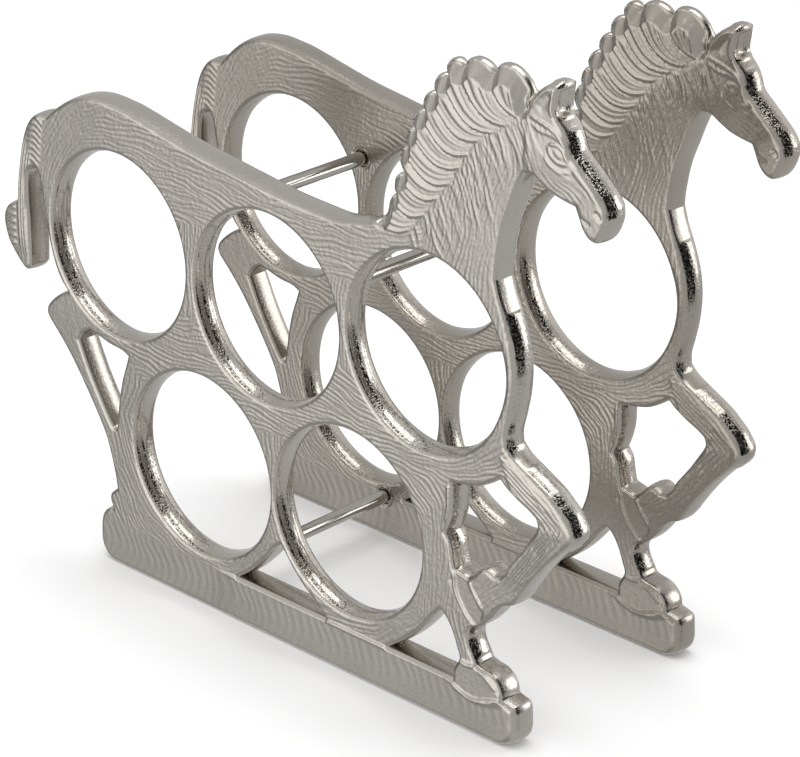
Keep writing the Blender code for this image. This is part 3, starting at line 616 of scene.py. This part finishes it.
def edge_drop(px, pz, depth, radius):
    """How far the surface lies behind the face: a rounding, or a long bevel round the mane."""
    t = np.clip(1 - depth / BEVEL_WIDE, 0, 1)
    bevel = BEVEL_DEEP * 1.06 * t * t / (t + 0.06)
    share = sample(bevel_zone, px, pz)
    return rounding(radius, depth) * (1 - share) + bevel * share


def cut_cells(f, pos):
    """Clip the grid to f >= 0.  Returns faces over numbered vertices, extra vertices and rim edges."""
    nx, nz = SHAPE
    number = np.arange(nx * nz).reshape(SHAPE)
    inside = f >= 0
    c = [inside[:-1, :-1], inside[1:, :-1], inside[1:, 1:], inside[:-1, 1:]]
    n = [number[:-1, :-1], number[1:, :-1], number[1:, 1:], number[:-1, 1:]]
    full = c[0] & c[1] & c[2] & c[3]
    quads = np.stack([k[full] for k in n], 1)
    strictly = f > 0
    s = [strictly[:-1, :-1], strictly[1:, :-1], strictly[1:, 1:], strictly[:-1, 1:]]
    mixed = ~full & (s[0] | s[1] | s[2] | s[3])
    flat_f = f.ravel()
    flat_p = pos.reshape(-1, 2)
    extra = []
    key = {}
    polys = []
    base = nx * nz
    for corner in zip(*(k[mixed] for k in n)):
        poly = []
        for k in range(4):
            a, b = corner[k], corner[(k + 1) % 4]
            fa, fb = flat_f[a], flat_f[b]
            if fa >= 0:
                poly.append(int(a))
            if (fa > 0 and fb < 0) or (fa < 0 and fb > 0):
                e = (min(a, b), max(a, b))
                if e not in key:
                    t = fa / (fa - fb)
                    key[e] = base + len(extra)
                    extra.append(flat_p[a] + t * (flat_p[b] - flat_p[a]))
                poly.append(key[e])
        if len(poly) >= 3:
            polys.append(poly)
    border = set()
    for face in polys:
        border.update(zip(face, face[1:] + face[:1]))
    for k in range(4):
        a = quads[:, k]
        b = quads[:, (k + 1) % 4]
        border.update(zip(a.tolist(), b.tolist()))
    rim = [e for e in border if (e[1], e[0]) not in border]
    return quads, polys, np.array(extra).reshape(-1, 2), rim


def inside_triangles(tris, border):
    """The triangles to the left of the directed border edges, found by spreading from them."""
    sides = [list(zip(t, list(t[1:]) + [t[0]])) for t in tris]
    owner = {side: k for k, group in enumerate(sides) for side in group}
    inside = {owner[side] for side in border if side in owner}
    stack = list(inside)
    while stack:
        for a, b in sides[stack.pop()]:
            other = owner.get((b, a))
            if other is not None and other not in inside and (a, b) not in border:
                inside.add(other)
                stack.append(other)
    return [tris[k] for k in sorted(inside)]


def settle(px, pz):
    """The far casting hangs a millimetre or two lower at the head."""
    share = step01((pz - 196) / 34)
    return px + share * (0.6 + 0.02 * (px - 50)), pz - share * (1.2 + 0.015 * (px - 30))


def panel_mesh(name, y_front, seats):
    """One cast panel: carved front, rounded rims and walls, plain back."""
    loops = LOOPS + [circle_loop(c, SEAT_R) for c in seats]
    shape, dist, near = (PANEL, DIST, NEAREST) if not seats else field(loops)
    f = dist - ISO
    pos = np.stack([X, Z], 2).copy()
    snap = np.abs(f) < 0.3 * H
    safe = np.where(np.abs(dist) < 1e-6, 1e-6, dist)
    slope = (pos - near) / safe[..., None]
    pos[snap] -= slope[snap] * f[snap][:, None]
    f = np.where(snap, 0.0, f)
    quads, polys, extra, rim = cut_cells(f, pos)
    flat = np.vstack([pos.reshape(-1, 2), extra])
    used = np.zeros(len(flat), bool)
    used[quads.ravel()] = True
    for p in polys:
        used[p] = True
    new_index = np.full(len(flat), -1)
    new_index[used] = np.arange(used.sum())
    plane = flat[used]
    inner = sample(dist, plane[:, 0], plane[:, 1])
    rim_ids = np.unique(np.array(rim).ravel())
    rim_new = new_index[rim_ids]
    inner[rim_new] = ISO
    inner = np.maximum(inner, ISO)
    radius = sample(edge_radius, plane[:, 0], plane[:, 1])
    depth = edge_drop(plane[:, 0], plane[:, 1], inner, radius)
    fade = step01((inner - 0.5) / 1.1)
    lift = sample(relief, plane[:, 0], plane[:, 1]) * fade
    y = y_front + depth - lift
    verts = [np.stack([plane[:, 0], y, plane[:, 1]], 1)]
    faces = [tuple(int(v) for v in new_index[q]) for q in quads]
    faces += [tuple(int(v) for v in new_index[p]) for p in polys]
    polish = [1 - step01((inner - 0.5) / 1.8)]

    # Rim points, pushed out along the shortest way to the true edge.
    p = plane[rim_new]
    q, d = shape.nearest(p)
    out = (q - p) / np.maximum(d, 1e-6)[:, None]
    r_front = radius[rim_new]
    y_back = y_front + THICK

    def drop(edge, radii):
        return edge_drop(p[:, 0], p[:, 1], np.full(len(p), edge), radii)

    wall_front = drop(0.0, r_front)
    wall_back = drop(0.0, BACK_RADIUS)
    centre = np.zeros_like(p)
    seat = np.zeros(len(p), bool)
    for c in seats:
        hit = np.hypot(q[:, 0] - c[0], q[:, 1] - c[1]) < SEAT_R + 0.1
        seat |= hit
        centre[hit] = c
    ear = step01((q[:, 1] - 270.5) / 3) * step01((283.5 - q[:, 1]) / 3)
    ear = np.exp(-((q[:, 0] - 74.8) / 1.8) ** 2) * ear
    levels = []
    for edge in EDGE_LEVELS:
        levels.append((q - out * edge, y_front + drop(edge, r_front)))
    crown = 0.4 + 0.6 * step01((sheen_at(q[:, 0], q[:, 1]) - 0.5) / 0.3)
    for s, belly in WALL_BELLY:
        swell = belly * crown * (1 - ear) - EAR_HOLLOW * ear * math.sin(math.pi * s)
        depth_s = y_front + wall_front + (THICK - wall_front - wall_back) * s
        levels.append((q + out * swell[:, None], depth_s))
    levels.append((q.copy(), y_back - drop(0.0, BACK_RADIUS)))
    levels.append((p.copy(), y_back - drop(ISO, BACK_RADIUS)))
    if seat.any():
        direction = (q - centre) / np.maximum(np.linalg.norm(q - centre, axis=1), 1e-6)[:, None]
        profile = [(SEAT_R + 0.1, y_front + 0.12), (SEAT_R, y_front + 0.4), (SEAT_R, y_front + 2.0),
                   (3.1, y_front + 2.0), (2.0, y_front + 2.0), (2.0, y_back - 2.2), (4.0, y_back - 0.5),
                   (4.0, y_back - 0.15), (4.2, y_back)]
        for k, (rad, yy) in enumerate(profile):
            pts, ys = levels[k]
            pts[seat] = centre[seat] + direction[seat] * rad
            ys[seat] = yy
    ring_of = {int(v): k for k, v in enumerate(rim_ids)}
    start = len(plane)
    count = len(rim_ids)
    for pts, ys in levels:
        verts.append(np.stack([pts[:, 0], ys, pts[:, 1]], 1))
        polish.append(np.ones(count))
    rings = [rim_new] + [start + k * count + np.arange(count) for k in range(len(levels))]
    for a, b in rim:
        ka, kb = ring_of[a], ring_of[b]
        for upper, low in zip(rings, rings[1:]):
            faces.append((int(upper[kb]), int(upper[ka]), int(low[ka]), int(low[kb])))

    # Back: triangles between the last ring and a coarser grid.
    rim_pts = levels[-1][0]
    coarse = []
    for stride, low, high in ((2, 0.9, 5.6), (8, 5.6, 99.0)):
        sub = np.zeros(SHAPE, bool)
        sub[::stride, ::stride] = True
        pick = sub & (dist > low) & (dist <= high)
        coarse.append(np.stack([X[pick], Z[pick], dist[pick]], 1))
    coarse = np.vstack(coarse)
    pts = [Vector((x, z)) for x, z in rim_pts] + [Vector((x, z)) for x, z in coarse[:, :2]]
    edge_list = [(ring_of[a], ring_of[b]) for a, b in rim]
    vv, _, tris, origin, _, _ = delaunay_2d_cdt(pts, edge_list, [], 0, 1e-6)
    last = rings[-1]
    extra_start = start + len(levels) * count
    lookup = []
    added = []
    for v, o in zip(vv, origin):
        if not o:
            lookup.append(extra_start + len(coarse) + len(added))
            added.append((v.x, y_back, v.y))
        elif o[0] < count:
            lookup.append(int(last[o[0]]))
        else:
            lookup.append(extra_start + o[0] - count)
    sink = edge_drop(coarse[:, 0], coarse[:, 1], coarse[:, 2], BACK_RADIUS)
    verts.append(np.stack([coarse[:, 0], y_back - sink, coarse[:, 1]], 1))
    polish.append(1 - step01((coarse[:, 2] - 0.5) / 1.8))
    if added:
        verts.append(np.array(added))
        polish.append(np.zeros(len(added)))
    made = {given: k for k, sources in enumerate(origin) for given in sources}
    border_edges = {(made[a], made[b]) for a, b in edge_list}
    faces += [(lookup[a], lookup[c], lookup[b]) for a, b, c in inside_triangles(tris, border_edges)]

    verts = np.vstack(verts)
    polish = np.concatenate(polish)
    px, pz = settle(verts[:, 0], verts[:, 2]) if seats else (verts[:, 0], verts[:, 2])
    coords = np.stack([(px + OFF_X) * MM, verts[:, 1] * MM, (pz + OFF_Z) * MM], 1)
    mesh = bpy.data.meshes.new(name)
    mesh.from_pydata(coords.tolist(), [], faces)
    layer = mesh.attributes.new("polish", "FLOAT", "POINT")
    layer.data.foreach_set("value", (polish * sheen_at(verts[:, 0], verts[:, 2])).astype(np.float32))
    body = bmesh.new()
    body.from_mesh(mesh)
    bmesh.ops.remove_doubles(body, verts=body.verts, dist=2e-6)
    bmesh.ops.dissolve_degenerate(body, edges=body.edges, dist=1e-6)
    bmesh.ops.recalc_face_normals(body, faces=body.faces)
    body.to_mesh(mesh)
    body.free()
    mesh.shade_smooth()
    obj = bpy.data.objects.new(name, mesh)
    bpy.context.scene.collection.objects.link(obj)
    return obj


def sheen_at(px, pz):
    """How polished an edge is: bright in the bottle holes, nose, chest and knee, satin elsewhere."""
    value = 0.30 * (1 - sample(bevel_zone, px, pz))
    for c in BOTTLE_HOLES:
        value = np.maximum(value, np.hypot(px - c[0], pz - c[1]) < BOTTLE_R + 2.4)
    for x, z, rx, rz in ((90, 252, 18, 18), (56, 160, 7, 31), (76, 114, 22, 12), (89, 102, 6, 8),
                         (26, 85, 6, 20), (36, 38, 6, 8), (74, 278, 4, 9)):
        value = np.maximum(value, 0.9 * ((px - x) ** 2 / rx ** 2 + (pz - z) ** 2 / rz ** 2 < 1))
    return value


# ---- materials -----------------------------------------
def nickel(name, tone, rough_flat, rough_bright, grain):
    """Nickel plate over a casting: satin on the faces, bright where the polish attribute is high."""
    mat = bpy.data.materials.new(name)
    mat.use_nodes = True
    tree = mat.node_tree
    nodes, links = tree.nodes, tree.links
    shader = nodes["Principled BSDF"]
    shader.inputs["Metallic"].default_value = 1.0
    coord = nodes.new("ShaderNodeTexCoord")
    polish = nodes.new("ShaderNodeAttribute")
    polish.attribute_name = "polish"

    cloud = nodes.new("ShaderNodeTexNoise")
    cloud.inputs["Scale"].default_value = 38.0
    cloud.inputs["Detail"].default_value = 5.0
    links.new(coord.outputs["Object"], cloud.inputs["Vector"])
    colour = nodes.new("ShaderNodeValToRGB")
    colour.color_ramp.elements[0].position = 0.30
    colour.color_ramp.elements[0].color = (*[c * 0.90 for c in tone], 1)
    colour.color_ramp.elements[1].position = 0.72
    colour.color_ramp.elements[1].color = (*tone, 1)
    links.new(cloud.outputs["Fac"], colour.inputs["Fac"])
    links.new(colour.outputs["Color"], shader.inputs["Base Color"])

    speck = nodes.new("ShaderNodeTexNoise")
    speck.inputs["Scale"].default_value = 900.0
    speck.inputs["Detail"].default_value = 3.0
    links.new(coord.outputs["Object"], speck.inputs["Vector"])
    spread = nodes.new("ShaderNodeMapRange")
    spread.inputs["From Min"].default_value = 0.3
    spread.inputs["From Max"].default_value = 0.7
    spread.inputs["To Min"].default_value = -0.05
    spread.inputs["To Max"].default_value = 0.07
    links.new(speck.outputs["Fac"], spread.inputs["Value"])
    rough = nodes.new("ShaderNodeMapRange")
    rough.inputs["To Min"].default_value = rough_flat
    rough.inputs["To Max"].default_value = rough_bright
    links.new(polish.outputs["Fac"], rough.inputs["Value"])
    total = nodes.new("ShaderNodeMath")
    total.operation = "ADD"
    links.new(rough.outputs["Result"], total.inputs[0])
    links.new(spread.outputs["Result"], total.inputs[1])
    links.new(total.outputs["Value"], shader.inputs["Roughness"])

    pits = nodes.new("ShaderNodeTexNoise")
    pits.inputs["Scale"].default_value = 1150.0
    pits.inputs["Detail"].default_value = 2.0
    pits.inputs["Roughness"].default_value = 0.6
    links.new(coord.outputs["Object"], pits.inputs["Vector"])
    sparse = nodes.new("ShaderNodeMapRange")
    sparse.interpolation_type = "SMOOTHSTEP"
    sparse.inputs["From Min"].default_value = 0.50
    sparse.inputs["From Max"].default_value = 0.66
    links.new(pits.outputs["Fac"], sparse.inputs["Value"])
    bump = nodes.new("ShaderNodeBump")
    bump.inputs["Distance"].default_value = 0.0003
    gain = nodes.new("ShaderNodeMapRange")
    gain.inputs["To Min"].default_value = 0.10 * grain
    gain.inputs["To Max"].default_value = 0.85 * grain
    links.new(polish.outputs["Fac"], gain.inputs["Value"])
    links.new(gain.outputs["Result"], bump.inputs["Strength"])
    links.new(sparse.outputs["Result"], bump.inputs["Height"])
    ripple = nodes.new("ShaderNodeTexNoise")
    ripple.inputs["Scale"].default_value = 150.0
    ripple.inputs["Detail"].default_value = 2.0
    links.new(coord.outputs["Object"], ripple.inputs["Vector"])
    soft = nodes.new("ShaderNodeBump")
    soft.inputs["Distance"].default_value = 0.0012
    soft.inputs["Strength"].default_value = 0.05 * grain
    links.new(ripple.outputs["Fac"], soft.inputs["Height"])
    links.new(bump.outputs["Normal"], soft.inputs["Normal"])
    links.new(soft.outputs["Normal"], shader.inputs["Normal"])
    return mat


# Both panels are the same nickel casting. The far panel's darker base colour is painted shade for the
# near panel's shadow and dark reflection on it.
near_metal = nickel("near_cast_nickel", (0.555, 0.525, 0.48), 0.27, 0.075, 0.30)
far_painted_shade_metal = nickel("far_cast_nickel", (0.455, 0.42, 0.375), 0.27, 0.075, 0.30)
rod_metal = nickel("rod_nickel", (0.50, 0.48, 0.45), 0.16, 0.14, 0.05)
screw_metal = nickel("screw_nickel", (0.50, 0.48, 0.45), 0.24, 0.2, 0.08)

# ---- pieces --------------------------------------------
for label, low, seats, metal, slot_name in (
    ("near", near_low, [], near_metal, "near_panel"),
    ("far", far_low, list(RODS.values()), far_painted_shade_metal, "far_panel"),
):
    panel = panel_mesh(label + "_cast_horse", low[1] / MM, seats)
    panel.data.materials.append(metal)
    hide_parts(label + "_horse_panel")
    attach(panel, "root")


def turned(name, centre, profile, segments, metal, hex_cut=None):
    """Solid of revolution along +Y about a rod axis; profile is (radius, y) in metres."""
    body = bmesh.new()
    rings = []
    for radius, y in profile:
        rings.append([
            body.verts.new((centre[0] + radius * math.cos(a), y, centre[1] + radius * math.sin(a)))
            for a in np.arange(segments) * 2 * math.pi / segments])
    body.faces.new(rings[0])
    for low, high in zip(rings, rings[1:]):
        for k in range(segments):
            n = (k + 1) % segments
            body.faces.new((low[k], low[n], high[n], high[k]))
    if hex_cut is None:
        body.faces.new(rings[-1][::-1])
    else:
        radius, depth = hex_cut
        y = profile[-1][1]
        mouth = []
        floor = []
        for k in range(segments):
            a = k * 2 * math.pi / segments
            reach = radius * math.cos(math.pi / 6) / math.cos((a % (math.pi / 3)) - math.pi / 6)
            x, z = centre[0] + reach * math.cos(a), centre[1] + reach * math.sin(a)
            mouth.append(body.verts.new((x, y, z)))
            floor.append(body.verts.new((x, y - depth, z)))
        for k in range(segments):
            n = (k + 1) % segments
            body.faces.new((rings[-1][k], rings[-1][n], mouth[n], mouth[k]))
            body.faces.new((mouth[k], mouth[n], floor[n], floor[k]))
        body.faces.new(floor[::-1])
    bmesh.ops.recalc_face_normals(body, faces=body.faces)
    mesh = bpy.data.meshes.new(name)
    body.to_mesh(mesh)
    body.free()
    mesh.shade_smooth()
    mesh.set_sharp_from_angle(angle=math.radians(32))
    mesh.materials.append(metal)
    obj = bpy.data.objects.new(name, mesh)
    bpy.context.scene.collection.objects.link(obj)
    return obj


for label in RODS:
    for kind, metal, slot_name in (("tie_rod", rod_metal, "tie_rods"), ("screw", screw_metal, "screws")):
        node = label + "_" + kind
        low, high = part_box(node)
        centre = ((low[0] + high[0]) / 2, (low[2] + high[2]) / 2)
        r = (high[0] - low[0]) / 2
        y0, y1 = low[1], high[1]
        if kind == "tie_rod":
            shoulder = near_high[1] + 0.0003
            profile = [(0.0019, y0), (0.0024, y0 + 0.0005), (0.0024, shoulder), (r - 0.00035, shoulder),
                       (r, shoulder + 0.00035)]
            steps = 24
            for k in range(1, steps):
                y = shoulder + 0.00035 + (y1 - 0.001 - shoulder) * k / steps
                profile.append((r + 0.00002 * math.sin(k * 2.1), y))
            profile += [(r, y1 - 0.00045), (r - 0.00035, y1 - 0.0001), (r - 0.0005, y1), (0.002, y1),
                        (0.002, y1 - 0.012)]
            piece = turned(label + "_rod", centre, profile, 72, metal)
        else:
            profile = [(0.0012, y0), (0.0017, y0 + 0.0004)]
            for k in range(24):
                y = y0 + 0.0004 + 0.0005 * (k + 0.5)
                profile += [(0.00168 if k % 2 else 0.0014, y)]
            profile += [(0.0017, y1 - 0.0022), (r - 0.0001, y1 - 0.00045), (r, y1 - 0.0003),
                        (r, y1 - 0.0001), (r - 0.00012, y1)]
            piece = turned(label + "_countersunk_screw", centre, profile, 48, metal, (0.0013, 0.0013))
        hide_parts(node)
        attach(piece, "root")

# ---- floor, light and camera ---------------------------
# Grey of the studio walls, and the plain white that the camera and the floor see.
WALL_GREY = 0.62
PLAIN_WHITE = 0.95
# Patches on the walls: (direction, full inside, gone outside, brightness), angles in degrees.
STUDIO = [
    ((-0.30, -0.90, 0.10), 16, 44, 1.55),
    ((-0.60, -0.60, 0.52), 14, 32, 0.80),
    ((-0.97, -0.15, -0.25), 14, 38, 0.25),
    ((-0.35, -0.45, -0.82), 12, 34, 0.40),
    ((0.10, 0.95, 0.30), 16, 32, 1.0),
    ((0.99, 0.06, 0.05), 20, 28, 0.012),
    ((0.86, 0.10, 0.50), 18, 27, 0.012),
    ((0.60, 0.10, 0.79), 14, 24, 0.02),
    ((0.63, 0.76, 0.10), 9, 15, 3.6),
    ((0.62, 0.70, 0.36), 9, 16, 3.0),
]
floor_mesh = bpy.data.meshes.new("studio_floor")
FLOOR_Z = -0.0002
corners = [(x, z, FLOOR_Z) for x, z in ((-4, -4), (4, -4), (4, 4), (-4, 4))]
floor_mesh.from_pydata(corners, [], [(0, 1, 2, 3)])
floor = bpy.data.objects.new("studio_floor", floor_mesh)
bpy.context.scene.collection.objects.link(floor)
floor_mat = bpy.data.materials.new("pale_floor")
floor_mat.use_nodes = True
shader = floor_mat.node_tree.nodes["Principled BSDF"]
shader.inputs["Base Color"].default_value = (0.93, 0.93, 0.93, 1)
shader.inputs["Roughness"].default_value = 0.9
shader.inputs["Specular IOR Level"].default_value = 0.1
floor_mesh.materials.append(floor_mat)
floor.visible_glossy = False

world = bpy.data.worlds.new("studio")
bpy.context.scene.world = world
world.use_nodes = True
sky = world.node_tree
back = sky.nodes["Background"]
direction = sky.nodes.new("ShaderNodeTexCoord")


def sky_patch(below, aim, full, edge, value):
    """Soft round patch of the studio walls, reached by mixing over what is below it."""
    dot = sky.nodes.new("ShaderNodeVectorMath")
    dot.operation = "DOT_PRODUCT"
    dot.inputs[1].default_value = Vector(aim).normalized()
    sky.links.new(direction.outputs["Generated"], dot.inputs[0])
    fall = sky.nodes.new("ShaderNodeMapRange")
    fall.interpolation_type = "SMOOTHSTEP"
    fall.inputs["From Min"].default_value = math.cos(math.radians(edge))
    fall.inputs["From Max"].default_value = math.cos(math.radians(full))
    sky.links.new(dot.outputs["Value"], fall.inputs["Value"])
    mix = sky.nodes.new("ShaderNodeMix")
    mix.data_type = "RGBA"
    sky.links.new(fall.outputs["Result"], mix.inputs["Factor"])
    if below is None:
        mix.inputs[6].default_value = (*[WALL_GREY] * 3, 1)
    else:
        sky.links.new(below, mix.inputs[6])
    mix.inputs[7].default_value = (*[value] * 3, 1)
    return mix.outputs[2]


walls = None
for aim, full, edge, value in STUDIO:
    walls = sky_patch(walls, aim, full, edge, value)
seen = sky.nodes.new("ShaderNodeLightPath")
plain = sky.nodes.new("ShaderNodeMix")
plain.data_type = "RGBA"
matte = sky.nodes.new("ShaderNodeMath")
matte.operation = "MAXIMUM"
sky.links.new(seen.outputs["Is Camera Ray"], matte.inputs[0])
sky.links.new(seen.outputs["Is Diffuse Ray"], matte.inputs[1])
sky.links.new(matte.outputs["Value"], plain.inputs["Factor"])
sky.links.new(walls, plain.inputs[6])
plain.inputs[7].default_value = (*[PLAIN_WHITE] * 3, 1)
sky.links.new(plain.outputs[2], back.inputs["Color"])


TOP_PLACE = Vector((0.0, 0.1, 2.2))
TOP_SIZE = 1.6
light = bpy.data.lights.new("top_soft", "AREA")
light.shape = "RECTANGLE"
light.size, light.size_y = TOP_SIZE, TOP_SIZE
light.energy = 19
top_soft = bpy.data.objects.new("top_soft", light)
top_soft.location = TOP_PLACE
top_soft.rotation_euler = (-TOP_PLACE).to_track_quat("-Z", "Y").to_euler()
top_soft.visible_camera = False
bpy.context.scene.collection.objects.link(top_soft)

# Camera: solved from the ellipses of the ten bottle holes.
AZIMUTH = 43.399
ELEVATION = 24.051
ROLL = 0.376
LENS = 143.71
a, e, r = (math.radians(v) for v in (AZIMUTH, ELEVATION, ROLL))
back_vec = Vector((math.sin(a) * math.cos(e), -math.cos(a) * math.cos(e), math.sin(e)))
right = (-back_vec).cross(Vector((0, 0, 1))).normalized()
up = right.cross(-back_vec)
right_r = math.cos(r) * right + math.sin(r) * up
up_r = -math.sin(r) * right + math.cos(r) * up
camera_data = bpy.data.cameras.new("camera")
camera_data.lens = LENS
camera_data.sensor_width = 36.0
camera_data.clip_end = 20.0
camera = bpy.data.objects.new("camera", camera_data)
place = Vector(((797.2 + OFF_X) * MM, -0.8455 + near_low[1], (662.4 + OFF_Z) * MM))
basis = Matrix((right_r, up_r, back_vec)).transposed().to_4x4()
camera.matrix_world = Matrix.Translation(place) @ basis
bpy.context.scene.collection.objects.link(camera)
bpy.context.scene.camera = camera
bpy.context.scene.view_settings.view_transform = "Standard"
